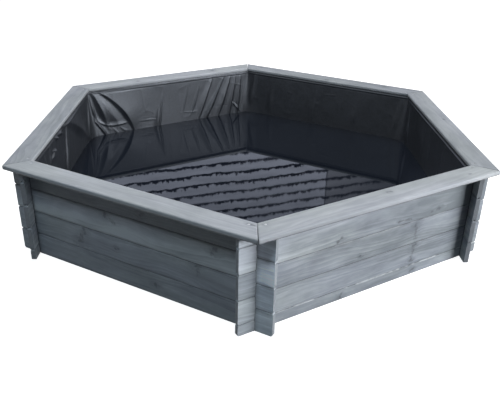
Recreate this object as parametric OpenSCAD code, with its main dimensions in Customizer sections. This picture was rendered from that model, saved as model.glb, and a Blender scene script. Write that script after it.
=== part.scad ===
// Six-sided timber basin: stacked boards crossing at notched corners, a flat mitred rim
// and a loose film liner clamped under it. Millimetres, +Z up, origin on the ground at the centre.

/* [Walls] */
// Length of one wall's outer face, corner to corner
wall_side = 930; // [600:5:1500]
// Boards that make up one wall's height
courses = 4; // [2:1:5]
// Thickness of a wall board
board_t = 16; // [15:0.5:24]
// Face height that one wall board covers
board_h = 90; // [76:1:120]
// Amount sawn off the boards that stand on the ground
ground_trim = 5; // [0:1:10]
// Amount sawn off the boards under the rim
head_trim = 9; // [0:1:10]
// Length of a board's end beyond the wall that it crosses
stub_l = 61; // [35:1:90]
// Bevel along the long edges where two boards meet
bevel = 3; // [1:0.5:3.5]
// Bevel across a board's ends, at their upper and lower corners
end_bevel = 4; // [1:0.5:6]

/* [Tongue and groove] */
// Thickness of the tongue on a board's upper edge
tongue_t = 5; // [4:0.5:6]
// Height of the tongue
tongue_h = 6; // [4:0.5:8]
// Room between the tongue and each side of its groove
groove_play = 0.3; // [0.1:0.1:0.5]
// Room above the tongue in its groove
groove_room = 1; // [0.5:0.5:2]

/* [Corner notches] */
// Room between a notch and each face of the board that lies in it
notch_play = 0.4; // [0.2:0.1:1]

/* [Rim] */
// Width of a rim board
rim_w = 89; // [75:1:140]
// Thickness of a rim board
rim_t = 16; // [12:0.5:28]
// Rounding of a rim board's long edges
rim_round = 4; // [1:0.5:5]
// How far the rim stands in past the walls' inner faces
rim_overhang = 12; // [6:1:20]
// Joint left open between two rim boards at their inner edges
mitre_gap = 0.6; // [0.2:0.2:2]
// How much wider that joint is at the outer edges
mitre_spread = 2; // [0:0.5:4]

/* [Liner] */
// Thickness of the film
film_t = 1; // [0.5:0.1:2]
// Room between the film and the walls
film_gap = 0.3; // [0.1:0.1:0.8]
// Width of the film that lies on top of the walls
hem_w = 13; // [11:0.5:14]
// Pleats on each wall beside each corner
pleat_count = 3; // [1:1:3]
// How far a pleat stands off the wall
pleat_depth = 14; // [4:1:20]
// Distance between pleats at the rim
pleat_top = 45; // [30:1:50]
// Distance between pleats at the floor
pleat_foot = 105; // [60:1:110]
// How far the film stays out of the corners
corner_slack = 12; // [4:1:18]

/* [Rim screws] */
// Diameter of a screw's shank
screw_d = 4; // [3:0.5:4.5]
// Length of a screw
screw_l = 40; // [34:1:45]
// Diameter of a screw's countersunk head
head_d = 8; // [7:0.5:9]
// Depth of the head's top below the rim
head_sink = 0.4; // [0.1:0.1:1]
// Room round the screw in its holes
screw_play = 0.1; // [0.05:0.05:0.3]
// Distance of a screw from the corner, along the wall
screw_inset = 28; // [24:1:60]

/* [Hidden] */
SIDES = ["front_right", "right", "back_right", "back_left", "left", "front_left"];
side_turn = 60;
corner_turn = side_turn / 2;
stain = [0.47, 0.50, 0.53];
film_black = [0.09, 0.10, 0.12];
steel = [0.62, 0.63, 0.64];
// Overcut that keeps a cut clear of the face that it starts from
over = 1;
arc_steps = 48;

// Distances are measured from the centre, square to a wall
wall_outer = wall_side * cos(corner_turn);
wall_inner = wall_outer - board_t;
wall_mid = wall_outer - board_t / 2;
wall_h = courses * board_h - ground_trim - head_trim;
board_l = wall_side + 2 * stub_l;
rim_inner = wall_inner - rim_overhang;
rim_outer = rim_inner + rim_w;
rim_foot = wall_h + film_t;
rim_head = rim_foot + rim_t;
mitre_inner = rim_inner / cos(corner_turn);
mitre_outer = rim_outer / cos(corner_turn);
mitre_lean = atan(mitre_spread / 2 / (mitre_outer - mitre_inner));
screw_at = wall_mid * tan(corner_turn) - screw_inset;
// A countersunk head tapers to the shank at 45 degrees
head_h = (head_d - screw_d) / 2;
recess_w = screw_d / 3;
recess_l = head_d / 2;

// Every second wall starts with half a board, so that the boards of neighbouring walls interlock
function starts_half(side) = side % 2 == 0;
function board_count(side) = starts_half(side) ? courses + 1 : courses;
function whole_foot(side, row) = (row - (starts_half(side) ? 0.5 : 0)) * board_h - ground_trim;
function board_foot(side, row) = max(0, whole_foot(side, row));
function board_head(side, row) = min(wall_h, whole_foot(side, row) + board_h);
function board_name(side, row) = str(SIDES[side], "_board_", row + 1);
function rim_name(side) = str(SIDES[side], "_rim_board");

// Turns a piece drawn on the +X side to its own side of the hexagon
module on_side(side) {
    rotate(side_turn * (side - 1)) children();
}

// Upright section of a board: x is its thickness, y its height
module board_section(height, grooved, tongued) {
    foot_bevel = grooved ? bevel : 0;
    head_bevel = tongued ? bevel : 0;
    difference() {
        union() {
            polygon([
                [foot_bevel, 0],
                [board_t - foot_bevel, 0],
                [board_t, foot_bevel],
                [board_t, height - head_bevel],
                [board_t - head_bevel, height],
                [head_bevel, height],
                [0, height - head_bevel],
                [0, foot_bevel]
            ]);
            if (tongued)
                translate([(board_t - tongue_t) / 2, height - over])
                    square([tongue_t, tongue_h + over]);
        }
        if (grooved)
            translate([(board_t - tongue_t) / 2 - groove_play, -over])
                square([tongue_t + 2 * groove_play, tongue_h + groove_room + over]);
    }
}

// A board seen square to its face, with the corners of its ends bevelled
module board_side(height, tongued) {
    half = board_l / 2;
    rise = over + (tongued ? tongue_h : 0);
    polygon([
        [end_bevel + over - half, -over],
        [half - end_bevel - over, -over],
        [half, end_bevel],
        [half, height - end_bevel],
        [half - end_bevel - rise, height + rise],
        [end_bevel + rise - half, height + rise],
        [-half, height - end_bevel],
        [-half, end_bevel]
    ]);
}

// The space that a neighbouring wall takes up between two heights
module crossing_slab(foot, head) {
    translate([wall_inner - notch_play, -wall_side, foot])
        cube([board_t + 2 * notch_play, 2 * wall_side, head - foot]);
}

// Notches above and below the neck, a board's middle half, at both of its ends
module corner_notches(side, row) {
    neck_foot = whole_foot(side, row) + board_h / 4 + notch_play / 2;
    neck_head = whole_foot(side, row) + board_h * 3 / 4 - notch_play / 2;
    foot = board_foot(side, row);
    head = board_head(side, row);
    for (turn = [-side_turn, side_turn])
        rotate(turn) {
            if (neck_foot > foot)
                crossing_slab(foot - over, neck_foot);
            if (neck_head < head)
                crossing_slab(neck_head, head + tongue_h + over);
        }
}

// Puts a piece at both screw places of the +X side, with the rim's top as its zero
module at_screws() {
    for (end = [-1, 1])
        translate([wall_mid, end * screw_at, rim_head]) children();
}

module screw() {
    translate([0, 0, -screw_l])
        cylinder(d = screw_d, h = screw_l - head_sink, $fn = arc_steps);
    translate([0, 0, -head_sink - head_h])
        cylinder(d1 = screw_d, d2 = head_d, h = head_h, $fn = arc_steps);
}

// Countersunk hole for a screw, open upwards
module screw_hole() {
    translate([0, 0, -screw_l - screw_play])
        cylinder(d = screw_d + 2 * screw_play, h = screw_l, $fn = arc_steps);
    translate([0, 0, -head_sink - head_h])
        cylinder(d1 = screw_d + 2 * screw_play, d2 = head_d + 2 * screw_play, h = head_h, $fn = arc_steps);
    translate([0, 0, -head_sink])
        cylinder(d = head_d + 2 * screw_play, h = head_sink + over, $fn = arc_steps);
}

module wall_board(side, row) {
    foot = board_foot(side, row);
    head = board_head(side, row);
    tongued = head < wall_h;
    color(stain)
        on_side(side)
            difference() {
                intersection() {
                    translate([wall_inner, 0, foot])
                        rotate([90, 0, 0])
                            linear_extrude(board_l, center = true)
                                board_section(head - foot, foot > 0, tongued);
                    translate([wall_inner - over, 0, foot])
                        rotate([90, 0, 90])
                            linear_extrude(board_t + 2 * over)
                                board_side(head - foot, tongued);
                }
                corner_notches(side, row);
                if (!tongued)
                    at_screws() screw_hole();
            }
}

// Cross-section of a rim board with its four long edges rounded
module rim_section() {
    translate([rim_round, 0])
        square([rim_w - 2 * rim_round, rim_t]);
    translate([0, rim_round])
        square([rim_w, rim_t - 2 * rim_round]);
    for (x = [rim_round, rim_w - rim_round])
        for (y = [rim_round, rim_t - rim_round])
            translate([x, y])
                circle(r = rim_round, $fn = arc_steps);
}

module rim_board(side) {
    color(stain)
        on_side(side)
            difference() {
                translate([rim_inner, 0, rim_foot])
                    rotate([90, 0, 0])
                        linear_extrude(2 * rim_outer, center = true)
                            rim_section();
                for (end = [0, 1])
                    mirror([0, end, 0])
                        rotate(corner_turn)
                            translate([mitre_inner, -mitre_gap / 2, rim_foot - over])
                                rotate(-mitre_lean)
                                    translate([-mitre_inner, 0, 0])
                                        cube([2 * mitre_outer, 2 * mitre_outer, rim_t + 2 * over]);
                at_screws() screw_hole();
            }
}

// The liner is one film: a hem on the walls, pleated sides and a floor on the ground.
// Its columns run down a wall and lean away from the corners, with a pleat on every odd one.
pleat_columns = 2 * pleat_count;
column_count = 6 * (2 * pleat_columns + 2);
film_outer = wall_inner - film_gap;
// Depths of the rings down the wall, as shares of its height
drops = [0, 0.08, 0.3, 0.55, 0.8, 1];
ring_count = len(drops) + 1;

// Pleats grow from nothing at the rim and are pressed in again at the floor
function lift(drop) = sin(150 * pow(drop, 0.6));
function column_run(column, drop) = (pleat_top + (pleat_foot - pleat_top) * drop) * column / 2;
function stand_off(column, drop) =
    lift(drop) * (column == 0 ? corner_slack : column % 2 == 1 ? pleat_depth : 0);

// One film point: turned to its side, stood off the wall and run along it from its corner
function film_point(side, column, end, reach, drop, z) =
    let (off = stand_off(column, drop))
    let (run = column == 0 ? off * tan(corner_turn) : column_run(column, drop))
    let (along = column > pleat_columns ? 0 : end * (reach * tan(corner_turn) - run))
    let (turn = side_turn * side)
    [
        (reach - off) * cos(turn) - along * sin(turn),
        (reach - off) * sin(turn) + along * cos(turn),
        z
    ];

function film_ring(reach, drop, z) = [
    for (side = [0:5])
        for (step = [0:2 * pleat_columns + 1])
            step <= pleat_columns + 1
                ? film_point(side, step, -1, reach, drop, z)
                : film_point(side, 2 * pleat_columns + 2 - step, 1, reach, drop, z)
];

// One face of the film, from the hem's edge to the floor's middle
function film_face(inset) = concat(
    film_ring(film_outer + hem_w, 0, wall_h + inset),
    [
        for (drop = drops)
            each film_ring(film_outer - inset, drop, wall_h * (1 - drop) + inset)
    ],
    [[0, 0, inset]]
);

// Triangles of one face of the film, seen from outside or from inside the basin
function film_triangles(first, outside) = [
    for (ring = [0:ring_count - 1])
        for (column = [0:column_count - 1])
            let (next = (column + 1) % column_count)
            let (a = first + ring * column_count + column)
            let (b = first + ring * column_count + next)
            let (last = ring == ring_count - 1)
            let (c = last ? first + ring_count * column_count : b + column_count)
            let (d = a + column_count)
            each concat(
                [outside ? [a, b, c] : [a, c, b]],
                last ? [] : [outside ? [a, c, d] : [a, d, c]]
            )
];

// Triangles that close the film along the hem's edge
function hem_triangles(first) = [
    for (column = [0:column_count - 1])
        let (next = (column + 1) % column_count)
        each [[column, first + next, next], [column, first + column, first + next]]
];

module liner() {
    face_points = ring_count * column_count + 1;
    color(film_black)
        difference() {
            polyhedron(
                points = concat(film_face(0), film_face(film_t)),
                faces = concat(
                    film_triangles(0, true),
                    film_triangles(face_points, false),
                    hem_triangles(face_points)
                )
            );
            for (side = [0:5])
                on_side(side) at_screws() screw_hole();
        }
}

module rim_screws() {
    color(steel)
        for (side = [0:5])
            on_side(side)
                at_screws()
                    difference() {
                        screw();
                        for (turn = [0, 90])
                            rotate(turn)
                                translate([-recess_l / 2, -recess_w / 2, -head_sink - head_h / 2])
                                    cube([recess_l, recess_w, head_h]);
                    }
}

for (side = [0:5])
    for (row = [0:board_count(side) - 1])
        wall_board(side, row);
for (side = [0:5])
    rim_board(side);
liner();
rim_screws();
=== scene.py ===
import math
import random

import bpy
import numpy as np
from mathutils import Matrix, Vector, noise


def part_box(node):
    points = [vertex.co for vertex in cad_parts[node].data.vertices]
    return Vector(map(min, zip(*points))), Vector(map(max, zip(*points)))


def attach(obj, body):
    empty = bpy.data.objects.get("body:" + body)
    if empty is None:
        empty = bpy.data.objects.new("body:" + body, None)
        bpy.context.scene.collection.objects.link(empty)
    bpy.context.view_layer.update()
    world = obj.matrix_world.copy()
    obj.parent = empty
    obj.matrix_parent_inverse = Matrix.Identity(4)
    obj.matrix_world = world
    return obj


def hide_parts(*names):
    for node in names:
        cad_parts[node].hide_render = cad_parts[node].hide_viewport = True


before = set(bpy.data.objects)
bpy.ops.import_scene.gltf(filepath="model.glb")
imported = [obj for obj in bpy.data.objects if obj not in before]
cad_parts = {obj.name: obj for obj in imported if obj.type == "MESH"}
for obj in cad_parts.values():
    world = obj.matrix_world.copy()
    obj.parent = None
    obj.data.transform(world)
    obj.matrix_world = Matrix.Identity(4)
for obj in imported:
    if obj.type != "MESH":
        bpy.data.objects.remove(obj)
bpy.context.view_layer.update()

MM = 0.001
WHITE = (1, 1, 1, 1)

# Measures of the frame, in metres. Side i faces 60 degrees times (i - 1), counted from +X.
SIDES = ["front_right", "right", "back_right", "back_left", "left", "front_left"]
TAN30 = math.tan(math.radians(30))
COS30 = math.cos(math.radians(30))
BOARD_LOW, BOARD_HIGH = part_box("right_board_1")
RIM_LOW, RIM_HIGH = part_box("right_rim_board")
WALL_INNER = BOARD_LOW.x
WALL_MID = (BOARD_LOW.x + BOARD_HIGH.x) / 2
WALL_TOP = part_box("right_board_4")[1].z
HALF_SIDE = WALL_INNER * TAN30
RIM_MID = (RIM_LOW.x + RIM_HIGH.x) / 2
RIM_TOP = RIM_HIGH.z


def side_turn(side):
    return math.radians(60 * (SIDES.index(side) - 1))


def boards_of(side):
    return sorted(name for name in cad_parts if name.startswith(f"{side}_board_"))


# Camera, fitted to the corners of the rim in a frame of 500 by 400
CAMERA_AT = Vector((-0.066, -2.444, RIM_TOP + 0.834))
CAMERA_PITCH = math.radians(-26.20)
CAMERA_YAW = math.radians(1.62)
CAMERA_ROLL = math.radians(1.29)
CAMERA_SENSOR = 36
CAMERA_FOCUS_PX = 609.1
FRAME_WIDTH_PX = 500


def add_camera():
    data = bpy.data.cameras.new("camera")
    data.sensor_width = CAMERA_SENSOR
    data.lens = CAMERA_FOCUS_PX * CAMERA_SENSOR / FRAME_WIDTH_PX
    camera = bpy.data.objects.new("camera", data)
    bpy.context.collection.objects.link(camera)
    level = math.cos(CAMERA_PITCH)
    ahead = Vector((math.sin(CAMERA_YAW) * level, math.cos(CAMERA_YAW) * level, math.sin(CAMERA_PITCH)))
    right = Vector((math.cos(CAMERA_YAW), -math.sin(CAMERA_YAW), 0))
    up = right.cross(ahead)
    rolled_right = math.cos(CAMERA_ROLL) * right + math.sin(CAMERA_ROLL) * up
    rolled_up = math.cos(CAMERA_ROLL) * up - math.sin(CAMERA_ROLL) * right
    turn = Matrix((rolled_right, rolled_up, -ahead)).transposed()
    camera.matrix_world = Matrix.Translation(CAMERA_AT) @ turn.to_4x4()
    bpy.context.scene.camera = camera


# Helpers for node materials
class Shader:
    """Adds nodes to one material or world and links values or sockets to their inputs."""

    def __init__(self, owner, output):
        owner.use_nodes = True
        self.tree = owner.node_tree
        self.tree.nodes.clear()
        self.output = output

    def put(self, socket, value):
        if isinstance(value, bpy.types.NodeSocket):
            self.tree.links.new(value, socket)
        elif value is not None:
            socket.default_value = value

    def node(self, kind, inputs=None, **settings):
        made = self.tree.nodes.new(kind)
        for name, value in settings.items():
            setattr(made, name, value)
        for key, value in (inputs or {}).items():
            self.put(made.inputs[key], value)
        return made

    def math(self, operation, a, b=None, c=None, clamp=False):
        made = self.node("ShaderNodeMath", {0: a, 1: b, 2: c}, operation=operation, use_clamp=clamp)
        return made.outputs[0]

    def add(self, a, b):
        return self.math("ADD", a, b)

    def times(self, a, b):
        return self.math("MULTIPLY", a, b)

    def swing(self, value, weight):
        """A value from nought to one as a plus or minus about nought."""
        return self.times(self.math("SUBTRACT", value, 0.5), weight)

    def vector(self, operation, a, b=None):
        made = self.node("ShaderNodeVectorMath", {0: a, 1: b}, operation=operation)
        return made.outputs["Value" if operation in ("LENGTH", "DOT_PRODUCT") else "Vector"]

    def scaled(self, vector, factor):
        made = self.node("ShaderNodeVectorMath", {0: vector, "Scale": factor}, operation="SCALE")
        return made.outputs["Vector"]

    def turned(self, vector, turn, kind):
        inputs = {"Vector": vector, "Rotation": (0, 0, -turn)}
        return self.node("ShaderNodeMapping", inputs, vector_type=kind).outputs[0]

    def split(self, vector):
        return self.node("ShaderNodeSeparateXYZ", {0: vector}).outputs

    def join(self, x, y, z):
        return self.node("ShaderNodeCombineXYZ", {0: x, 1: y, 2: z}).outputs[0]

    def noise(self, vector, scale, detail=2.0, rough=0.5):
        """Noise of one scale, or of one scale for each axis."""
        if isinstance(scale, tuple):
            vector = self.vector("MULTIPLY", vector, scale)
            scale = 1
        inputs = {"Vector": vector, "Scale": scale, "Detail": detail, "Roughness": rough}
        return self.node("ShaderNodeTexNoise", inputs).outputs["Fac"]

    def ramp(self, value, low, high, start=0.0, end=1.0):
        inputs = {"Value": value, "From Min": low, "From Max": high, "To Min": start, "To Max": end}
        made = self.node("ShaderNodeMapRange", inputs, interpolation_type="SMOOTHSTEP")
        return made.outputs[0]

    def at_ends(self, along, span, shares):
        """One along a board's middle, and a share of its own past each end of the span."""
        inner, outer = span
        start = self.ramp(along, -outer, -inner, shares[0], 1)
        end = self.ramp(along, inner, outer, 1, shares[1])
        return self.times(start, end)

    def mix(self, share, a, b, blend="MIX"):
        made = self.node("ShaderNodeMix", data_type="RGBA", blend_type=blend)
        for key, value in ((0, share), (6, a), (7, b)):
            self.put(made.inputs[key], value)
        return made.outputs[2]

    def bump(self, height, strength, distance, normal=None):
        inputs = {"Height": height, "Strength": strength, "Distance": distance, "Normal": normal}
        return self.node("ShaderNodeBump", inputs).outputs[0]

    def surface(self, shader):
        self.node(self.output, {"Surface": shader})

    def mix_surface(self, share, a, b):
        self.surface(self.node("ShaderNodeMixShader", {0: share, 1: a, 2: b}).outputs[0])

    def principled(self, **inputs):
        named = {key.replace("_", " "): value for key, value in inputs.items()}
        self.surface(self.node("ShaderNodeBsdfPrincipled", named).outputs[0])

    def seen_directly(self):
        """One for rays from the camera or off a mirror or through glass, and nought for scattered light."""
        path = self.node("ShaderNodeLightPath").outputs
        sharp = self.math("MAXIMUM", path["Is Glossy Ray"], path["Is Transmission Ray"])
        return self.math("MAXIMUM", path["Is Camera Ray"], sharp)


def new_material(name):
    material = bpy.data.materials.new(name)
    return material, Shader(material, "ShaderNodeOutputMaterial")


def add_mesh(name, points, faces, material):
    mesh = bpy.data.meshes.new(name)
    mesh.from_pydata([tuple(p) for p in points], [], faces)
    mesh.materials.append(material)
    made = bpy.data.objects.new(name, mesh)
    bpy.context.collection.objects.link(made)
    return made


# Floor, world and lamps
FLOOR_SIDE = 40
FLOOR_GLOW = 0.88
FLOOR_GLOW_SPAN = (1.4, 4.0)
FLOOR_LIT = (0.60, 0.60, 0.60, 1)
FLOOR_BOUNCE = (0.07, 0.073, 0.077, 1)
AMBIENT = (0.018, 0.024, 0.030, 1)

# Lamps: direction from the object's middle, distance, width and height, power and colour
LAMPS = {
    "key": ((0.88, -0.45, 0.225), 4.2, (3.2, 0.8), 176, (0.985, 0.99, 1.0)),
    "top": ((0.0, 0.28, 1.0), 3.4, (3.0, 2.4), 110, (1.0, 0.985, 0.965)),
    "fill": ((-0.25, -0.56, 0.78), 4.6, (0.7, 0.7), 44, (0.76, 0.90, 1.0)),
}


def add_floor():
    material, sh = new_material("floor_white")
    away = sh.vector("LENGTH", sh.node("ShaderNodeTexCoord").outputs["Object"])
    strength = sh.ramp(away, *FLOOR_GLOW_SPAN, FLOOR_GLOW, 1.0)
    glow = sh.node("ShaderNodeEmission", {"Color": WHITE, "Strength": strength}).outputs[0]
    lit = sh.node("ShaderNodeBsdfDiffuse", {"Color": FLOOR_LIT}).outputs[0]
    shown = sh.node("ShaderNodeAddShader", {0: glow, 1: lit}).outputs[0]
    bounced = sh.node("ShaderNodeBsdfDiffuse", {"Color": FLOOR_BOUNCE}).outputs[0]
    sh.mix_surface(sh.seen_directly(), bounced, shown)
    half = FLOOR_SIDE / 2
    corners = [(-half, -half, 0), (half, -half, 0), (half, half, 0), (-half, half, 0)]
    floor = add_mesh("floor", corners, [range(4)], material)


def add_world():
    world = bpy.data.worlds.new("studio")
    bpy.context.scene.world = world
    sh = Shader(world, "ShaderNodeOutputWorld")
    soft = sh.node("ShaderNodeBackground", {"Color": AMBIENT, "Strength": 1}).outputs[0]
    white = sh.node("ShaderNodeBackground", {"Color": WHITE, "Strength": 1}).outputs[0]
    sh.mix_surface(sh.seen_directly(), soft, white)


def add_lights():
    centre = Vector((0, 0, RIM_TOP / 2))
    for name, (towards, distance, size, power, colour) in LAMPS.items():
        data = bpy.data.lights.new(name, "AREA")
        data.shape = "RECTANGLE"
        data.size, data.size_y = size
        data.energy = power
        data.color = colour
        lamp = bpy.data.objects.new(name, data)
        bpy.context.collection.objects.link(lamp)
        at = centre + Vector(towards).normalized() * distance
        aim = (centre - at).to_track_quat("-Z", "Y")
        lamp.matrix_world = Matrix.Translation(at) @ aim.to_matrix().to_4x4()
        lamp.visible_camera = False


# Boarded screen behind the object, glowing with painted light: lit boards, and a painted shaded face past
# its corner that dims further out. Only mirror-like surfaces show it.
SCREEN_TURN = math.radians(108)
SCREEN_DISTANCE = 4.0
SCREEN_REACH = (-6.0, 6.0)
SCREEN_HEIGHTS = (0.9, 5.0)
SCREEN_BOARD_H = 0.1242
SCREEN_FIRST_JOINT = 1.793
SCREEN_CORNER = 2.45
SCREEN_CORNER_BLUR = 0.01
SCREEN_CORNER_SEAM = 0.006
SCREEN_DIM_REACH = 1.1
SCREEN_LIGHT = (1.18, 1.27, 1.54, 1)
SCREEN_SHADED = (0.64, 0.68, 0.80, 1)
SCREEN_DIM = (0.26, 0.28, 0.34, 1)
SCREEN_JOINT = (0.0, 0.0, 0.01, 1)
# How far the boards wave, slowly and finely
SCREEN_SAG_SCALE = 1.6
SCREEN_SAG = 0.05
SCREEN_RIPPLE_SCALE = (9, 4, 1)
SCREEN_RIPPLE = 0.045
# Ragged dark joints, as a share of a board's height
SCREEN_RAGGED_SCALE = (17, 12, 1)
SCREEN_RAGGED_ROUGH = 0.75
SCREEN_RAGGED_RANGE = (0.28, 0.74)
SCREEN_JOINT_SHARE = (0.06, 0.52)
# Cloudy brightness of the boards' painted light
SCREEN_CLOUD_SCALE = (2.5, 14, 1)
SCREEN_CLOUD_RANGE = (0.2, 0.8)
SCREEN_CLOUDS = (0.82, 1.12)


def screen_material(aside):
    material, sh = new_material("screen_boards")
    coords = sh.node("ShaderNodeTexCoord").outputs["Object"]
    x = sh.vector("DOT_PRODUCT", coords, tuple(aside))
    z = sh.split(coords)[2]
    place = sh.join(x, z, 0.0)

    sag = sh.swing(sh.noise(place, SCREEN_SAG_SCALE), SCREEN_SAG)
    sag = sh.add(sag, sh.swing(sh.noise(place, SCREEN_RIPPLE_SCALE, detail=3), SCREEN_RIPPLE))
    level = sh.add(sh.math("SUBTRACT", z, SCREEN_FIRST_JOINT), sag)
    rise = sh.math("FRACT", sh.math("DIVIDE", level, SCREEN_BOARD_H))
    ragged = sh.noise(place, SCREEN_RAGGED_SCALE, detail=5, rough=SCREEN_RAGGED_ROUGH)
    joint = sh.math("LESS_THAN", rise, sh.ramp(ragged, *SCREEN_RAGGED_RANGE, *SCREEN_JOINT_SHARE))
    dark = sh.math("MAXIMUM", joint, sh.math("COMPARE", x, SCREEN_CORNER, SCREEN_CORNER_SEAM))

    # Painted shade: past the corner the boards are shaded, and dim further out
    shaded = sh.ramp(x, SCREEN_CORNER - SCREEN_CORNER_BLUR, SCREEN_CORNER + SCREEN_CORNER_BLUR)
    fall = sh.ramp(x, SCREEN_CORNER, SCREEN_CORNER + SCREEN_DIM_REACH)
    boards = sh.mix(shaded, SCREEN_LIGHT, sh.mix(fall, SCREEN_SHADED, SCREEN_DIM))
    colour = sh.mix(dark, boards, SCREEN_JOINT)
    clouded = sh.ramp(sh.noise(place, SCREEN_CLOUD_SCALE, detail=3), *SCREEN_CLOUD_RANGE, *SCREEN_CLOUDS)
    shown = sh.node("ShaderNodeEmission", {"Color": colour, "Strength": clouded}).outputs[0]
    clear = sh.node("ShaderNodeBsdfTransparent").outputs[0]
    mirrored = sh.node("ShaderNodeLightPath").outputs["Is Glossy Ray"]
    sh.mix_surface(mirrored, clear, shown)
    return material


def add_screen():
    out = Vector((math.cos(SCREEN_TURN), math.sin(SCREEN_TURN), 0)) * SCREEN_DISTANCE
    aside = Vector((math.sin(SCREEN_TURN), -math.cos(SCREEN_TURN), 0))
    (left, right), (foot, head) = SCREEN_REACH, SCREEN_HEIGHTS
    reach = ((left, foot), (right, foot), (right, head), (left, head))
    corners = [out + aside * x + Vector((0, 0, z)) for x, z in reach]
    screen = add_mesh("mirrored_screen", corners, [range(4)], screen_material(aside))


# Stain of the boards, with painted light and shade on stubs, corners and joints, listed for those that are
# seen best. The others vary by their own seed.

# Knots by board, in millimetres: place along the board from its middle, height above the ground (or,
# on a rim board, distance from the object's middle), radius, and a dark tail's reach along and across
KNOTS = {
    "front_right_board_4": [(-149, 242, 6, -14, -11), (290, 243, 5, -48, -9), (100, 237, 4, 55, -4)],
    "front_right_board_3": [(183, 198, 8, 6, -52), (-60, 150, 4, 20, 3)],
    "front_right_board_2": [(191, 118, 8, -11, -44), (182, 62, 6, 8, -8)],
    "front_right_board_1": [(-133, 12, 7, 8, 12), (200, 16, 6, -12, -4)],
    "front_left_board_4": [(40, 290, 6, 14, 6)],
    "front_left_board_3": [(-107, 252, 9, 34, -26), (322, 246, 9, -12, -14)],
    "front_left_board_2": [
        (-209, 152, 8, -3, 14), (-231, 116, 10, 12, 26), (-72, 129, 5, 10, 4), (258, 166, 9, 4, -30),
    ],
    "front_left_board_1": [(90, 40, 7, 26, 6)],
    "front_right_rim_board": [(30, 803, 6, 12, 2), (380, 830, 3, 10, 2), (-432, 797, 4, -9, 2)],
    "right_rim_board": [(60, 836, 3, 8, 2)],
    "front_left_rim_board": [(432, 797, 4, 20, 0)],
    "left_rim_board": [],
}
# Other boards' knots: count, reach along in metres, across as a share of the half width, radius in
# millimetres, and reach of the tail along and across in metres
KNOT_COUNT = (2, 3)
KNOT_ALONG = 0.42
KNOT_ACROSS = 0.8
KNOT_RADIUS = (4, 8)
KNOT_TAIL = (0.03, 0.02)

# Lightness at the two ends of a span about a board's middle
TONE_SPAN = 0.93
TONES = {
    "front_right_board_1": (0.40, 0.30),
    "front_right_board_2": (0.53, 0.14),
    "front_right_board_3": (0.36, 0.20),
    "front_right_board_4": (0.76, -0.16),
    "front_right_board_5": (0.76, -0.24),
    "front_left_board_1": (0.40, 0.40),
    "front_left_board_2": (0.47, 0.47),
    "front_left_board_3": (0.72, 0.72),
    "front_left_board_4": (0.46, 0.46),
    "front_right_rim_board": (0.49, 0.49),
    "front_left_rim_board": (0.46, 0.46),
    "right_rim_board": (0.26, 0.26),
    "back_right_rim_board": (0.12, 0.12),
    "left_rim_board": (0.20, 0.20),
}
TONE_MEAN = 0.5
TONE_SPREAD = 0.14

# Brightness of a wall's stubs past its two corners, as a factor: paler stain at the ends, with painted
# light on the stubs at the near corner and painted shade on the right wall's stub
STUB_TONE_AND_LIGHT = {
    "front_right": (1.27, 1.0),
    "right": (0.65, 1.0),
    "left": (1.0, 1.15),
    "front_left": (1.15, 2.0),
}
STUB_TONE_AND_LIGHT_ELSEWHERE = (1.2, 1.2)
EVEN_ENDS = (1.0, 1.0)
# How much of the painted shade and grime is left at a side's two corners
CORNER_SHADE_AND_GRIME = {"front_left": (0.3, 1.0), "left": (1.0, 0.3)}
# How strongly the stain is chipped off along a wall board's upper edge
CHIPPED = {"front_right_board_1": 0.8, "front_right_board_3": 0.3}
CHIPPED_ELSEWHERE = 0.05
# How dark the painted shade and stain are along a wall's joints
JOINT_SHADE = {"front_left": 0.5}
JOINT_SHADE_ELSEWHERE = 0.15


class Board:
    """One board: where it lies, how it is stained and worn, and its painted light and shade."""

    def __init__(self, side, name, seed):
        low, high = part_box(name)
        self.name = name
        self.seed = seed
        self.turn = side_turn(side)
        self.is_rim = name.endswith("rim_board")
        if self.is_rim:
            self.centre = (RIM_MID, RIM_TOP)
            self.half_width = (RIM_HIGH.x - RIM_LOW.x) / 2
            self.stub_tone_and_light = EVEN_ENDS
        else:
            self.centre = ((low.z + high.z) / 2, WALL_MID)
            self.half_width = (high.z - low.z) / 2
            self.stub_tone_and_light = STUB_TONE_AND_LIGHT.get(side, STUB_TONE_AND_LIGHT_ELSEWHERE)
        own_tone = TONE_MEAN + random.Random(seed).uniform(-TONE_SPREAD, TONE_SPREAD)
        self.tone = TONES.get(name, (own_tone, own_tone))
        self.corner_shade_and_grime = CORNER_SHADE_AND_GRIME.get(side, EVEN_ENDS)
        self.chipped = CHIPPED.get(name, CHIPPED_ELSEWHERE)
        self.joint_shade = JOINT_SHADE.get(side, JOINT_SHADE_ELSEWHERE)
        self.knots = self.listed_knots() if name in KNOTS else self.seeded_knots()

    def listed_knots(self):
        listed = [[value * MM for value in knot] for knot in KNOTS[self.name]]
        return [(along, across - self.centre[0], *rest) for along, across, *rest in listed]

    def seeded_knots(self):
        rng = random.Random(self.seed)
        tail_along, tail_across = KNOT_TAIL
        knots = []
        for _ in range(rng.randint(*KNOT_COUNT)):
            along = rng.uniform(-KNOT_ALONG, KNOT_ALONG)
            across = rng.uniform(-KNOT_ACROSS, KNOT_ACROSS) * self.half_width
            radius = rng.uniform(*KNOT_RADIUS) * MM
            tail = (rng.uniform(-tail_along, tail_along), rng.uniform(-tail_across, tail_across))
            knots.append((along, across, radius, *tail))
        return knots


# Grey-stained timber
STAIN_DARK = (0.185, 0.205, 0.230, 1)
STAIN_MID = (0.335, 0.362, 0.395, 1)
STAIN_LIGHT = (0.56, 0.59, 0.625, 1)
KNOT_CORE = (0.085, 0.092, 0.105, 1)
END_DARK = (0.11, 0.12, 0.135, 1)
END_LIGHT = (0.24, 0.26, 0.285, 1)
EDGE_WORN = (0.52, 0.55, 0.58, 1)
CHIP_PALE = (0.58, 0.61, 0.64, 1)
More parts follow.
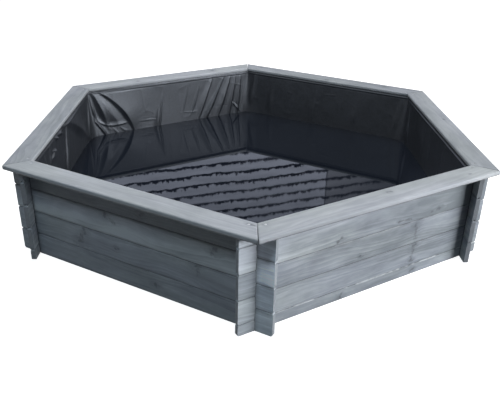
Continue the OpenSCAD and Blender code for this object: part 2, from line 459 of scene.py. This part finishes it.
# Colour of the painted shade and grime in corners, grooves, along joints and under the rim
SHADE_AND_GRIME = (0.045, 0.049, 0.055, 1)
WALL_WASH = ((0.955, 0.972, 1.01, 1), (0.995, 1.02, 1.005, 1))
RIM_WASH = ((1.0, 0.98, 0.995, 1), (1.02, 1.01, 0.975, 1))
# Distances from a wall's middle over which the paler stain and painted light and shade of its stubs, and
# the painted shade and grime of its corners, set in
STUB_SPAN = (0.455, 0.485)
CORNER_SPAN = (0.440, 0.452)

# Knots: wobble and spans in radii of the knot
KNOT_STRETCH = 1.35
KNOT_WOBBLE_SCALE = 85
KNOT_WOBBLE = 3.2
KNOT_CORE_SPAN = (0.2, 1.4)
KNOT_HALO_SPAN = (0.8, 4.0)
KNOT_SMEAR_SPAN = (0.1, 1.5)
KNOT_SMEAR = 0.9
KNOT_SMEAR_SCALE = 60
KNOT_SMEAR_RANGE = (0.36, 0.60)
KNOT_SMEAR_LEAST = 0.1
KNOT_PUSH = 0.85
KNOT_DARKNESS = 0.66
HALO_DARKNESS = 0.18

# Growth rings round a pith that lies near the board, and the grain's wandering
SEED_SHIFT = 40
SEED_DRIFT = 0.05
PITH_ASIDE = 0.03
PITH_DEPTH = (0.012, 0.05)
WANDER_SCALE = (2.6, 9, 9)
WANDER = 0.075
RING_STRETCH = 0.04
RING_WAVE = {"Scale": 27, "Distortion": 1.8, "Detail": 3.0, "Detail Scale": 1.6, "Detail Roughness": 0.6}
RING_WEIGHT = 0.22
# Layers of stretched noise: scale along and across the grain, detail, and weight in the stain
LAYERS = {
    "fibres": (9, 400, 3, 0.36),
    "streaks": (2.8, 48, 4, 0.62),
    "blotches": (3.6, 11, 4, 1.0),
    "patches": (8, 26, 3, 0.85),
}
LAYER_ROUGH = 0.6
RIM_CALM = 0.6
WASH_SCALE = (2.2, 7, 7)
WASH_RANGE = (0.35, 0.65)

# End grain, the rim's paler side faces and the painted shade on its lower faces
PORE_SCALE = 900
END_FACE = (0.80, 0.95)
END_GRAIN = 0.8
RIM_BEND = 8 * MM
RIM_SIDE = (0.3, 0.8)
RIM_SIDE_PALER = 0.25
RIM_UNDER = (-0.55, -0.05)
RIM_UNDER_SHADE = 0.85

# Worn edges, painted shade and grime in the corners and grooves, dark joints with painted shade and stain
# along them, and chipped upper edges
WORN_RADIUS = 2.2 * MM
WORN_TURN = (0.01, 0.12)
WORN = 0.75
RUB_SCALE = 38
RUB_RANGE = (0.38, 0.60)
SHADE_AND_GRIME_REACH = 4 * MM
SHADE_AND_GRIME_OPEN = (0.42, 0.97)
SHADE_AND_GRIME_MOST = 0.85
TONGUE_H = 6 * MM
JOINT_BAND = (2 * MM, 12 * MM)
JOINT_SCALE = (7, 12, 12)
JOINT_RANGE = (0.35, 0.65)
JOINT_LEAST = 0.2
CHIP_FACING = (0.30, 0.60)
CHIP_SCALE = (24, 30, 30)
CHIP_RANGE = (0.38, 0.62)

# Relief and gloss
FIBRE_RELIEF = 0.8
RING_RELIEF = 0.3
KNOT_RELIEF = 0.5
TIMBER_BUMP = (0.35, 0.7 * MM)
TIMBER_ROUGH = 0.55
FIBRE_ROUGH = 0.22
TIMBER_SPECULAR = 0.32


class Grain:
    """The grain of one board in its own frame: along it, across its face and into its depth."""

    def __init__(self, sh, board, coords):
        x, y, z = sh.split(sh.turned(coords, board.turn, "POINT"))
        place = sh.join(y, x, z) if board.is_rim else sh.join(y, z, x)
        self.place = sh.vector("SUBTRACT", place, (0, *board.centre))
        self.along, across, deep = sh.split(self.place)
        self.core = 0.0
        self.halo = 0.0
        for knot in board.knots:
            across = self.bend_round(sh, across, knot)

        rng = random.Random(board.seed)
        shift = rng.uniform(-SEED_SHIFT, SEED_SHIFT)
        drift = sh.times(self.along, rng.uniform(-SEED_DRIFT, SEED_DRIFT))
        pith_across = rng.uniform(-PITH_ASIDE, PITH_ASIDE)
        pith_deep = rng.choice((-1, 1)) * rng.uniform(*PITH_DEPTH)
        shifted = sh.add(self.along, shift)
        self.moved = sh.join(shifted, across, deep)
        wander = sh.swing(sh.noise(self.moved, WANDER_SCALE), WANDER)

        ring_across = sh.add(sh.add(across, drift), sh.add(wander, pith_across))
        ring_place = sh.join(sh.times(self.along, RING_STRETCH), ring_across, sh.add(deep, pith_deep))
        inputs = {"Vector": ring_place, "Phase Offset": shift, **RING_WAVE}
        kind = {"wave_type": "RINGS", "rings_direction": "X", "wave_profile": "SAW"}
        self.rings = sh.node("ShaderNodeTexWave", inputs, **kind).outputs["Fac"]
        bent = sh.join(shifted, sh.add(across, wander), deep)
        self.layers = {}
        for layer, (lengthwise, crosswise, detail, _) in LAYERS.items():
            self.layers[layer] = sh.noise(bent, (lengthwise, crosswise, crosswise), detail, LAYER_ROUGH)

    def bend_round(self, sh, across, knot):
        """Adds one knot's dark core and tail and its halo, and bends the grain round it."""
        knot_along, knot_across, radius, tail_along, tail_across = knot
        away = sh.vector("SUBTRACT", self.place, (knot_along, knot_across, 0))
        flat = sh.vector("MULTIPLY", away, (1 / KNOT_STRETCH, 1, 0))
        wobble = sh.swing(sh.noise(self.place, KNOT_WOBBLE_SCALE, detail=3), radius * KNOT_WOBBLE)

        def within(distance, span, most):
            low, high = span
            return sh.ramp(sh.add(distance, wobble), radius * low, radius * high, most, 0)

        distance = sh.vector("LENGTH", flat)
        core = within(distance, KNOT_CORE_SPAN, 1)
        halo = within(distance, KNOT_HALO_SPAN, 1)
        tail = Vector((tail_along, tail_across, 0))
        reached = sh.vector("DOT_PRODUCT", away, tuple(tail))
        share = sh.math("DIVIDE", reached, tail.length_squared, clamp=True)
        on_tail = sh.scaled(tuple(tail), share)
        aside = sh.vector("MULTIPLY", sh.vector("SUBTRACT", away, on_tail), (1, 1, 0))
        smear = within(sh.vector("LENGTH", aside), KNOT_SMEAR_SPAN, KNOT_SMEAR)
        blots = sh.noise(self.place, KNOT_SMEAR_SCALE, detail=3)
        broken = sh.ramp(blots, *KNOT_SMEAR_RANGE, KNOT_SMEAR_LEAST, 1)
        core = sh.math("MAXIMUM", core, sh.times(smear, broken))
        self.core = sh.math("MAXIMUM", self.core, core)
        self.halo = sh.math("MAXIMUM", self.halo, halo)
        push = sh.times(sh.split(away)[1], sh.times(halo, KNOT_PUSH))
        return sh.math("SUBTRACT", across, push)


def stain_and_stub_light(sh, board, grain):
    """Colour of the stained face, with its knots, and the painted light and shade on its stubs."""
    calm = RIM_CALM if board.is_rim else 1.0
    start_tone, end_tone = board.tone
    slope = sh.times(grain.along, (end_tone - start_tone) / TONE_SPAN)
    shade = sh.add(slope, (start_tone + end_tone) / 2)
    shade = sh.add(shade, sh.swing(grain.rings, RING_WEIGHT * calm))
    for layer, (*_, weight) in LAYERS.items():
        shade = sh.add(shade, sh.swing(grain.layers[layer], weight * calm))
    shade = sh.math("SUBTRACT", shade, sh.times(grain.halo, HALO_DARKNESS), clamp=True)
    ramp = sh.node("ShaderNodeValToRGB", {"Fac": shade})
    ramp.color_ramp.elements[0].color = STAIN_DARK
    ramp.color_ramp.elements[1].color = STAIN_LIGHT
    ramp.color_ramp.elements.new(0.5).color = STAIN_MID
    wash = sh.ramp(sh.noise(grain.moved, WASH_SCALE), *WASH_RANGE)
    tint = sh.mix(wash, *(RIM_WASH if board.is_rim else WALL_WASH))
    colour = sh.mix(1.0, ramp.outputs[0], tint, "MULTIPLY")
    # Painted light and shade on the stubs, with their paler stain
    colour = sh.scaled(colour, sh.at_ends(grain.along, STUB_SPAN, board.stub_tone_and_light))
    return sh.mix(sh.times(grain.core, KNOT_DARKNESS), colour, KNOT_CORE)


def wear_and_shade(sh, board, grain, colour, true_normal):
    """Worn edges and the painted shade and grime of corners and grooves, and on a wall board the painted
    shade and stain along its joints and its chipped upper edge.
    """
    rounded = sh.node("ShaderNodeBevel", {"Radius": WORN_RADIUS}, samples=4).outputs[0]
    turned_away = sh.math("SUBTRACT", 1.0, sh.vector("DOT_PRODUCT", rounded, true_normal))
    rub = sh.ramp(sh.noise(grain.place, RUB_SCALE, detail=3), *RUB_RANGE)
    worn = sh.times(sh.ramp(turned_away, *WORN_TURN), sh.times(rub, WORN))
    colour = sh.mix(worn, colour, EDGE_WORN)

    # Painted shade and grime: darker where ambient occlusion finds a corner or groove
    open_air = sh.node("ShaderNodeAmbientOcclusion", {"Distance": SHADE_AND_GRIME_REACH}, samples=4).outputs["AO"]
    kept = sh.at_ends(grain.along, CORNER_SPAN, board.corner_shade_and_grime)
    colour = sh.mix(sh.times(sh.ramp(open_air, *SHADE_AND_GRIME_OPEN, SHADE_AND_GRIME_MOST, 0), kept), colour, SHADE_AND_GRIME)
    if board.is_rim:
        return colour

    # Painted shade and stain in a band along each joint
    level = sh.split(grain.place)[1]
    dark, clear = JOINT_BAND
    top = board.half_width - TONGUE_H
    head = sh.ramp(level, top - clear, top - dark)
    foot = sh.ramp(level, dark - board.half_width, clear - board.half_width, 1, 0)
    uneven = sh.ramp(sh.noise(grain.moved, JOINT_SCALE, detail=3), *JOINT_RANGE, JOINT_LEAST, 1)
    band = sh.times(sh.math("MAXIMUM", head, foot), uneven)
    colour = sh.mix(sh.times(band, board.joint_shade), colour, SHADE_AND_GRIME)
    upward = sh.ramp(sh.split(true_normal)[2], *CHIP_FACING)
    dashes = sh.ramp(sh.noise(grain.moved, CHIP_SCALE, detail=4), *CHIP_RANGE)
    return sh.mix(sh.times(sh.times(upward, dashes), board.chipped), colour, CHIP_PALE)


def timber(board):
    """Stained board: rings cut lengthwise, fibres, stain patches, knots, worn edges and end grain."""
    material, sh = new_material(f"timber_{board.name}")
    coords = sh.node("ShaderNodeTexCoord").outputs
    grain = Grain(sh, board, coords["Object"])
    colour = stain_and_stub_light(sh, board, grain)

    faces = sh.vector("ABSOLUTE", sh.turned(coords["Normal"], board.turn, "NORMAL"))
    side_face, end_face, _ = sh.split(faces)
    end_grain = sh.mix(sh.noise(grain.place, PORE_SCALE), END_DARK, END_LIGHT)
    colour = sh.mix(sh.times(sh.ramp(end_face, *END_FACE), END_GRAIN), colour, end_grain)
    base = None
    if board.is_rim:
        base = sh.node("ShaderNodeBevel", {"Radius": RIM_BEND}, samples=8).outputs[0]
        # The rim's side faces are made paler
        colour = sh.mix(sh.ramp(side_face, *RIM_SIDE, 0, RIM_SIDE_PALER), colour, EDGE_WORN)
        # Painted shade: the rim is darker where its bent normal faces down
        colour = sh.mix(sh.ramp(sh.split(base)[2], *RIM_UNDER, RIM_UNDER_SHADE, 0), colour, SHADE_AND_GRIME)
    true_normal = sh.node("ShaderNodeNewGeometry").outputs["True Normal"]
    colour = wear_and_shade(sh, board, grain, colour, true_normal)

    fibres = grain.layers["fibres"]
    height = sh.add(sh.times(fibres, FIBRE_RELIEF), sh.times(grain.rings, RING_RELIEF))
    height = sh.math("SUBTRACT", height, sh.times(grain.core, KNOT_RELIEF))
    rough = sh.add(TIMBER_ROUGH, sh.times(fibres, FIBRE_ROUGH))
    sh.principled(Base_Color=colour, Roughness=rough, Specular_IOR_Level=TIMBER_SPECULAR,
                  Normal=sh.bump(height, *TIMBER_BUMP, base))
    return material


# Softened edges of the wall boards
EDGE_ROUND = 0.8 * MM
EDGE_SEGMENTS = 2
EDGE_ANGLE = math.radians(35)
WELD_REACH = 0.01 * MM
SEEDS_PER_SIDE = 100


def soften_edges(node):
    node.modifiers.new("joined_faces", "WELD").merge_threshold = WELD_REACH
    bevel = node.modifiers.new("softened_edges", "BEVEL")
    bevel.width = EDGE_ROUND
    bevel.segments = EDGE_SEGMENTS
    bevel.limit_method = "ANGLE"
    bevel.angle_limit = EDGE_ANGLE
    bevel.harden_normals = False


def give_material(node, material):
    for used in node.material_slots:
        used.material = material


def dress_boards():
    for place, side in enumerate(SIDES):
        for step, name in enumerate(boards_of(side) + [f"{side}_rim_board"]):
            board = Board(side, name, SEEDS_PER_SIDE * place + step)
            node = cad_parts[name]
            give_material(node, timber(board))
            if not board.is_rim:
                soften_edges(node)


# Screws
SCREW_DULL = (0.46, 0.47, 0.49, 1)
SCREW_BRIGHT = (0.60, 0.61, 0.63, 1)
SCREW_GRAIN_SCALE = 900
SCREW_GRAIN_RANGE = (0.3, 0.7)
SCREW_ROUGH = (0.30, 0.45)
SCREW_BUMP = (0.2, 0.1 * MM)


def dress_screws():
    material, sh = new_material("screw_zinc")
    grain = sh.noise(sh.node("ShaderNodeTexCoord").outputs["Object"], SCREW_GRAIN_SCALE, detail=3)
    colour = sh.mix(grain, SCREW_DULL, SCREW_BRIGHT)
    rough = sh.ramp(grain, *SCREW_GRAIN_RANGE, *SCREW_ROUGH)
    sh.principled(Base_Color=colour, Roughness=rough, Metallic=1.0, Normal=sh.bump(grain, *SCREW_BUMP))
    give_material(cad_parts["rim_screws"], material)


# Film liner
FILM_T = 0.6 * MM
FILM_CLEAR = 1.4 * MM
HEM_W = 13 * MM
HEM_Z = WALL_TOP + 0.8 * MM
HEM_STEPS = (HEM_W, HEM_W / 2, -0.4 * MM)
# Rows of the film below the walls' top edge: from, to and count, in millimetres
WALL_DROPS = ((0, 20, 11), (24, 244, 84), (252, 344.8, 13))
WALL_COLUMNS = {"back_left": 400, "left": 260}
COLUMNS_ELSEWHERE = 116
# Length below the top over which the film leaves the wall, and before a corner over which folds fade
HANG = 20 * MM
CORNER_FADE = 18 * MM
# Rolled top edge of the film: place below the walls' top in millimetres, height and half width
ROLL_BELOW = {"left": 19, "right": 19}
ROLL_ELSEWHERE = 9
ROLL_H = 2.4 * MM
ROLL_W = 3.5 * MM
# How far the film stays out of the corners, low down, and how far along the walls that shows, with the
# share of that reach at the top and the depth at which both are full
CORNER_SLACK = 20 * MM
CORNER_REACH = 36 * MM
CORNER_SLIM = 0.25
CORNER_FALL = 225 * MM
# Rounding between the walls and the floor, and rings of points across the floor
COVE = 30 * MM
FLOOR_RINGS = 24
# Wrinkles of the floor: height, scale and layer of their noise, and rings over which they set in
FLOOR_WRINKLE = 3 * MM
FLOOR_WRINKLE_SCALE = 9
FLOOR_WRINKLE_LAYER = 7.5
FLOOR_WRINKLE_RINGS = 3
# Loose waves and small creases: scale along and down the wall, step from wall to wall, layer, height
WAVES = ((5, 3.2), 31, 0.5, 2.6 * MM)
CREASES = ((16, 9), 17, 2.5, 0.7 * MM)
CREASE_SHARPNESS = 6

# Folds of the film, in millimetres: start of the crest, a point that it bends towards, and its end, each
# along the wall and below its top; the half widths on the right and left hand of that run, seen from
# inside; the height; and the share of the height at the start
FOLDS = {
    "back_left": [
        ((422, -6), (258, 92), (220, 262), (9, 100), 14, 0.2),
        ((414, 20), (352, 118), (296, 196), (24, 28), 6, 0.1),
        ((437, 4), (410, 62), (362, 205), (12, 40), 13, 0.25),
        ((448, 30), (446, 95), (430, 150), (6, 7), 8, 0.3),
        ((443, 135), (400, 180), (353, 188), (4, 10), 3.5, 0.7),
        ((353, 188), (303, 190), (252, 184), (4, 10), 3.5, 0.9),
        ((440, 150), (405, 190), (366, 262), (4, 9), 8, 0.5),
        ((300, 205), (285, 222), (262, 232), (5, 5), 1.5, 0.6),
        ((340, 206), (325, 222), (312, 238), (5, 5), 1.5, 0.6),
        ((196, 188), (150, 187), (89, 193), (4, 4), 1.2, 0.3),
        ((58, 50), (76, 160), (96, 290), (14, 5), 6, 0.0),
        ((84, 120), (98, 190), (116, 290), (10, 5), 4, 0.0),
        ((-92, 20), (-72, 100), (-44, 205), (6, 4), 2, 0.0),
        ((-154, 35), (-136, 115), (-96, 205), (7, 5), 3.5, 0.0),
        ((-36, 178), (-100, 186), (-159, 183), (4, 4), 1.2, 0.3),
        ((-238, 4), (-196, 100), (-118, 290), (20, 6), 7, 0.05),
        ((-250, 95), (-215, 170), (-150, 300), (12, 4), 7, 0.0),
        ((-309, 2), (-254, 105), (-158, 300), (7, 6), 12, 0.05),
        ((-347, 4), (-316, 115), (-234, 300), (18, 6), 8, 0.05),
        ((-376, 4), (-368, 120), (-316, 300), (16, 5), 7, 0.05),
        ((-410, 6), (-402, 120), (-380, 300), (14, 6), 6, 0.05),
        ((-362, 170), (-388, 196), (-414, 228), (3, 5), 5, 0.8),
        ((-345, 53), (-395, 66), (-444, 87), (3, 3), 0.9, 0.4),
        ((-250, 12), (-290, 20), (-331, 39), (3, 3), 0.7, 0.4),
        ((-245, 170), (-300, 178), (-346, 178), (3, 3), -1.2, 0.4),
    ],
    "left": [
        ((-47, 15), (-190, 62), (-400, 215), (22, 56), 18, 0.3),
        ((-47, 12), (0, 75), (30, 300), (7, 34), 10, 0.2),
        ((183, 2), (140, 8), (105, 40), (3, 5), 7, 0.5),
        ((88, 17), (60, 24), (18, 46), (4, 8), 9, 0.5),
        ((121, 12), (126, 22), (119, 42), (4, 6), 9, 0.5),
        ((160, 60), (190, 72), (218, 84), (4, 5), 8, 0.5),
        ((184, 57), (160, 60), (134, 72), (4, 5), 8, 0.5),
        ((46, 3), (8, 8), (-30, 22), (7, 9), 9, 0.5),
        ((230, 20), (222, 60), (240, 130), (8, 10), 7, 0.2),
        ((300, 30), (280, 90), (290, 200), (9, 12), 6, 0.2),
        ((-440, 5), (-420, 90), (-395, 245), (12, 12), 10, 0.2),
    ],
    "back_right": [
        ((400, 2), (424, 95), (448, 220), (16, 16), 10, 0.2),
        ((303, 60), (306, 140), (318, 240), (12, 12), 4, 0.1),
        ((204, 79), (186, 82), (165, 90), (4, 4), 1.0, 0.5),
        ((28, 40), (46, 120), (68, 230), (14, 14), 4.5, 0.1),
        ((36, 112), (28, 116), (21, 123), (4, 4), 1.4, 0.6),
        ((-11, 62), (-45, 58), (-83, 57), (4, 4), 1.0, 0.5),
        ((-200, 60), (-190, 120), (-170, 230), (14, 14), 3, 0.1),
        ((-430, 5), (-410, 110), (-390, 245), (10, 10), 5, 0.2),
    ],
    "right": [
        ((425, 5), (405, 110), (380, 245), (10, 10), 10, 0.2),
        ((150, 20), (140, 110), (138, 245), (7, 7), 4, 0.0),
        ((60, 20), (48, 110), (42, 245), (7, 7), 5, 0.0),
        ((-160, 20), (-120, 110), (-90, 245), (8, 8), 5, 0.0),
        ((-425, 5), (-405, 110), (-380, 245), (10, 10), 10, 0.2),
    ],
    "front_right": [
        ((430, 5), (380, 90), (330, 245), (11, 11), 10, 0.2),
        ((180, 15), (200, 120), (230, 245), (9, 9), 5, 0.0),
        ((-60, 20), (-70, 120), (-95, 245), (9, 9), 6, 0.0),
        ((-270, 10), (-250, 110), (-215, 245), (9, 9), 6, 0.0),
        ((-430, 5), (-385, 90), (-340, 245), (11, 11), 11, 0.2),
    ],
    "front_left": [
        ((430, 5), (385, 90), (345, 245), (11, 11), 11, 0.2),
        ((250, 10), (230, 110), (190, 245), (9, 9), 6, 0.0),
        ((40, 20), (55, 120), (80, 245), (9, 9), 5, 0.0),
        ((-190, 15), (-215, 120), (-250, 245), (10, 10), 6, 0.0),
        ((-430, 5), (-380, 90), (-335, 245), (11, 11), 10, 0.2),
    ],
}
# Course of a fold: points on its crest, how soon it is full, where it starts to end and how far it drops
# there, its least width, the reach of its flanks in half widths and the rounding of its crest
FOLD_STEPS = 16
FOLD_PACE = 1.15
FOLD_FADE = 0.55
FOLD_DROP = 0.9
SLIM_START = 0.35
FLANK_REACH = 2.2
CREST_ROUND = 0.3
FAR = 1e9


def fold_heights(fold, along, below):
    """Stand-off of one fold at every point of a wall: a crest along a bent line, with hollow flanks."""
    start, middle, end, (right_width, left_width), height, share = fold
    steps = np.linspace(0, 1, FOLD_STEPS)[:, None]
    line = (1 - steps) ** 2 * np.array(start) + 2 * steps * (1 - steps) * np.array(middle)
    line = (line + steps ** 2 * np.array(end)) * MM
    point = np.stack([along, below], -1)
    nearest = np.full(along.shape, FAR)
    reached = np.zeros(along.shape)
    half_width = np.zeros(along.shape)
    for i in range(FOLD_STEPS - 1):
        run = line[i + 1] - line[i]
        t = np.clip(((point - line[i]) @ run) / (run @ run), 0, 1)
        away = point - line[i] - t[..., None] * run
        distance = np.linalg.norm(away, axis=-1)
        turned = run[0] * away[..., 1] - run[1] * away[..., 0]
        closer = distance < nearest
        nearest = np.where(closer, distance, nearest)
        reached = np.where(closer, (i + t) / (FOLD_STEPS - 1), reached)
        half_width = np.where(closer, np.where(turned < 0, right_width, left_width) * MM, half_width)
    rise = share + (1 - share) * np.sin(np.clip(reached * FOLD_PACE, 0, 1) * math.pi / 2)
    ending = np.clip((reached - FOLD_FADE) / (1 - FOLD_FADE), 0, 1)
    rise = rise * (1 - FOLD_DROP * ending ** 2 * (3 - 2 * ending))
    half_width = half_width * (SLIM_START + (1 - SLIM_START) * rise)
    bend = CREST_ROUND * min(right_width, left_width) * MM
    spread = (np.sqrt(nearest ** 2 + bend ** 2) - bend) / half_width
    crest = np.clip(1 - spread / FLANK_REACH, 0, 1) ** 2
    return height * MM * rise * crest


def crumple(wall, along, below):
    """Loose waves and small creases of the film over a whole wall."""
    (wave_along, wave_down), wave_step, wave_layer, wave_height = WAVES
    (crease_along, crease_down), crease_step, crease_layer, crease_height = CREASES
    out = np.zeros(along.shape)
    for index, s in np.ndenumerate(along):
        v = below[index]
        place = Vector((s * wave_along + wave_step * wall, v * wave_down, wave_layer))
        slow = noise.noise(place) * 0.5 + 0.5
        bent = Vector((s * crease_along + crease_step * wall + slow, v * crease_down + slow, crease_layer))
        ridged = (1 - abs(noise.noise(bent))) ** CREASE_SHARPNESS
        out[index] = wave_height * slow + crease_height * ridged
    return out


def wall_stand_off(side, along, below):
    """How far the film stands in from the wall's face, at points along it and below its top."""
    stand_off = sum(fold_heights(fold, along, below) for fold in FOLDS[side])
    stand_off = stand_off + crumple(SIDES.index(side), along, below)
    to_corner = np.clip(HALF_SIDE - np.abs(along), 0, None)
    hang = np.clip(below / HANG, 0, 1)
    fade = np.clip(to_corner / CORNER_FADE, 0, 1)
    stand_off = np.clip(stand_off, 0, None) * hang * fade
    from_roll = (below - ROLL_BELOW.get(side, ROLL_ELSEWHERE) * MM) / ROLL_W
    roll = ROLL_H * np.exp(-from_roll ** 2) * fade
    sunk = np.clip(below / CORNER_FALL, 0, 1)
    reach = CORNER_REACH * (CORNER_SLIM + (1 - CORNER_SLIM) * sunk)
    slack = CORNER_SLACK * sunk * np.exp(-to_corner / reach)
    into_cove = np.clip(below - (WALL_TOP - FILM_T - COVE), 0, COVE)
    cove = COVE - np.sqrt(np.clip(COVE ** 2 - into_cove ** 2, 0, None))
    return FILM_CLEAR + stand_off + roll + slack + cove


def film_rings():
    """Closed rings of points from the hem over the walls' top edge, down the walls and across the floor."""
    lean = [(math.cos(side_turn(s)), math.sin(side_turn(s))) for s in SIDES]
    counts = [WALL_COLUMNS.get(side, COLUMNS_ELSEWHERE) for side in SIDES]
    shares = [np.arange(count) * 2 / count - 1 for count in counts]

    def ring(apothems, height):
        points = []
        for (cos, sin), share, inward in zip(lean, shares, apothems):
            slide = share * TAN30 * inward
            level = np.full(len(share), height)
            points.append(np.stack([cos * inward - sin * slide, sin * inward + cos * slide, level], -1))
        return np.concatenate(points)

    rings = [ring([np.full(count, WALL_INNER + out) for count in counts], HEM_Z) for out in HEM_STEPS]
    drops = np.concatenate([np.linspace(*span) for span in WALL_DROPS]) * MM
    walls = []
    for side, share in zip(SIDES, shares):
        along, below = np.meshgrid(share * HALF_SIDE, drops)
        walls.append(WALL_INNER - wall_stand_off(side, along, below))
    for row, drop in enumerate(drops):
        rings.append(ring([wall[row] for wall in walls], WALL_TOP - drop))
    foot = rings[-1]
    for step in range(1, FLOOR_RINGS):
        inner = foot * (1 - step / FLOOR_RINGS)
        inner[:, 2] = foot[:, 2]
        for point in inner:
            x, y = point[:2] * FLOOR_WRINKLE_SCALE
            wrinkle = max(0, noise.noise(Vector((x, y, FLOOR_WRINKLE_LAYER))))
            point[2] += FLOOR_WRINKLE * wrinkle * min(1, step / FLOOR_WRINKLE_RINGS)
        rings.append(inner)
    return rings


# Black film: dust, scuffs and fine speckles as noise scale, detail and roughness
FILM_DARK = (0.0005, 0.001, 0.002, 1)
FILM_DUSTY = (0.011, 0.013, 0.017, 1)
FILM_SHEEN = (0.82, 0.89, 1.0, 1)
DUST = (6, 5, 0.6)
DUST_RANGE = (0.35, 0.75)
DUST_SPECKLE = 0.1
DUST_ROUGH = 0.05
SCUFF = (70, 4, 0.65)
SCUFF_RANGE = (0.3, 0.7)
FINE = (420, 3, 0.6)
SPECKLE_RANGE = (0.85, 1.20)
MOTTLE = (95, 3, 0.55)
PINCH_SCALE = 42
PINCH_RANGE = (0.0, 0.10)
FINE_RELIEF = 0.2
PINCH_RELIEF = 0.2
MOTTLE_RELIEF = 0.7
FILM_ROUGH = (0.42, 0.48)
FILM_IOR = 1.6
FILM_SPECULAR = 0.80
FILM_BUMP = (0.26, 1.0 * MM)


def film_material():
    material, sh = new_material("black_film")
    coords = sh.node("ShaderNodeTexCoord").outputs["Object"]
    dust = sh.ramp(sh.noise(coords, *DUST), *DUST_RANGE)
    scuff = sh.noise(coords, *SCUFF)
    fine = sh.noise(coords, *FINE)
    speckle = sh.add(fine, sh.add(scuff, sh.times(dust, DUST_SPECKLE)))
    colour = sh.mix(sh.ramp(speckle, *SPECKLE_RANGE), FILM_DARK, FILM_DUSTY)
    rough = sh.add(sh.ramp(scuff, *SCUFF_RANGE, *FILM_ROUGH), sh.times(dust, DUST_ROUGH))
    inputs = {"Vector": coords, "Scale": PINCH_SCALE}
    pinch = sh.node("ShaderNodeTexVoronoi", inputs, feature="DISTANCE_TO_EDGE").outputs[0]
    height = sh.add(sh.times(fine, FINE_RELIEF), sh.times(sh.ramp(pinch, *PINCH_RANGE), PINCH_RELIEF))
    height = sh.add(height, sh.times(sh.noise(coords, *MOTTLE), MOTTLE_RELIEF))
    sh.principled(Base_Color=colour, Roughness=rough, IOR=FILM_IOR, Specular_IOR_Level=FILM_SPECULAR,
                  Specular_Tint=FILM_SHEEN, Normal=sh.bump(height, *FILM_BUMP))
    return material


def add_liner():
    rings = film_rings()
    count = len(rings[0])
    points = np.concatenate(rings + [rings[-1].mean(0, keepdims=True)])
    faces = []
    for r in range(len(rings) - 1):
        for c in range(count):
            n = (c + 1) % count
            faces.append((r * count + c, r * count + n, (r + 1) * count + n, (r + 1) * count + c))
    last = (len(rings) - 1) * count
    faces += [(last + c, last + (c + 1) % count, len(points) - 1) for c in range(count)]
    liner = add_mesh("film_liner", points, faces, film_material())
    liner.data.shade_smooth()
    solid = liner.modifiers.new("film_thickness", "SOLIDIFY")
    solid.thickness = FILM_T
    solid.offset = -1
    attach(liner, "root")
    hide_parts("liner")


# Water standing in the film
WATER_Z = 116 * MM
WATER_SKIN = 4 * MM
WATER_INSET = 0.4 * MM
WATER_DARK = (0.006, 0.008, 0.013, 1)
WATER_PALE = (0.010, 0.013, 0.020, 1)
WATER_SHEEN = (0.84, 0.91, 1.0, 1)
WATER_IOR = 1.33
MURK_SCALE = 3
MURK_RANGE = (0.3, 0.7)
WATER_ROUGH = (0.015, 0.03)
RIPPLE_SCALE = 14
RIPPLE_BUMP = (0.02, 1 * MM)


def water_material():
    material, sh = new_material("still_water")
    coords = sh.node("ShaderNodeTexCoord").outputs["Object"]
    murk = sh.noise(coords, MURK_SCALE, detail=3)
    colour = sh.mix(murk, WATER_DARK, WATER_PALE)
    rough = sh.ramp(murk, *MURK_RANGE, *WATER_ROUGH)
    sh.principled(Base_Color=colour, Roughness=rough, IOR=WATER_IOR, Specular_Tint=WATER_SHEEN,
                  Normal=sh.bump(sh.noise(coords, RIPPLE_SCALE), *RIPPLE_BUMP))
    return material


def add_water():
    reach = (WALL_INNER - WATER_INSET) / COS30
    count = len(SIDES)
    turns = [math.radians(60 * i + 30) for i in range(count)]
    levels = (WATER_Z, WATER_Z - WATER_SKIN)
    points = [(reach * math.cos(t), reach * math.sin(t), z) for z in levels for t in turns]
    faces = [tuple(range(count)), tuple(range(2 * count - 1, count - 1, -1))]
    for i in range(count):
        n = (i + 1) % count
        faces.append((i, i + count, n + count, n))
    water = add_mesh("water", points, faces, water_material())
    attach(water, "root")


bpy.context.scene.view_settings.view_transform = "Standard"
add_camera()
add_floor()
add_world()
add_lights()
add_screen()
dress_boards()
dress_screws()
add_liner()
add_water()
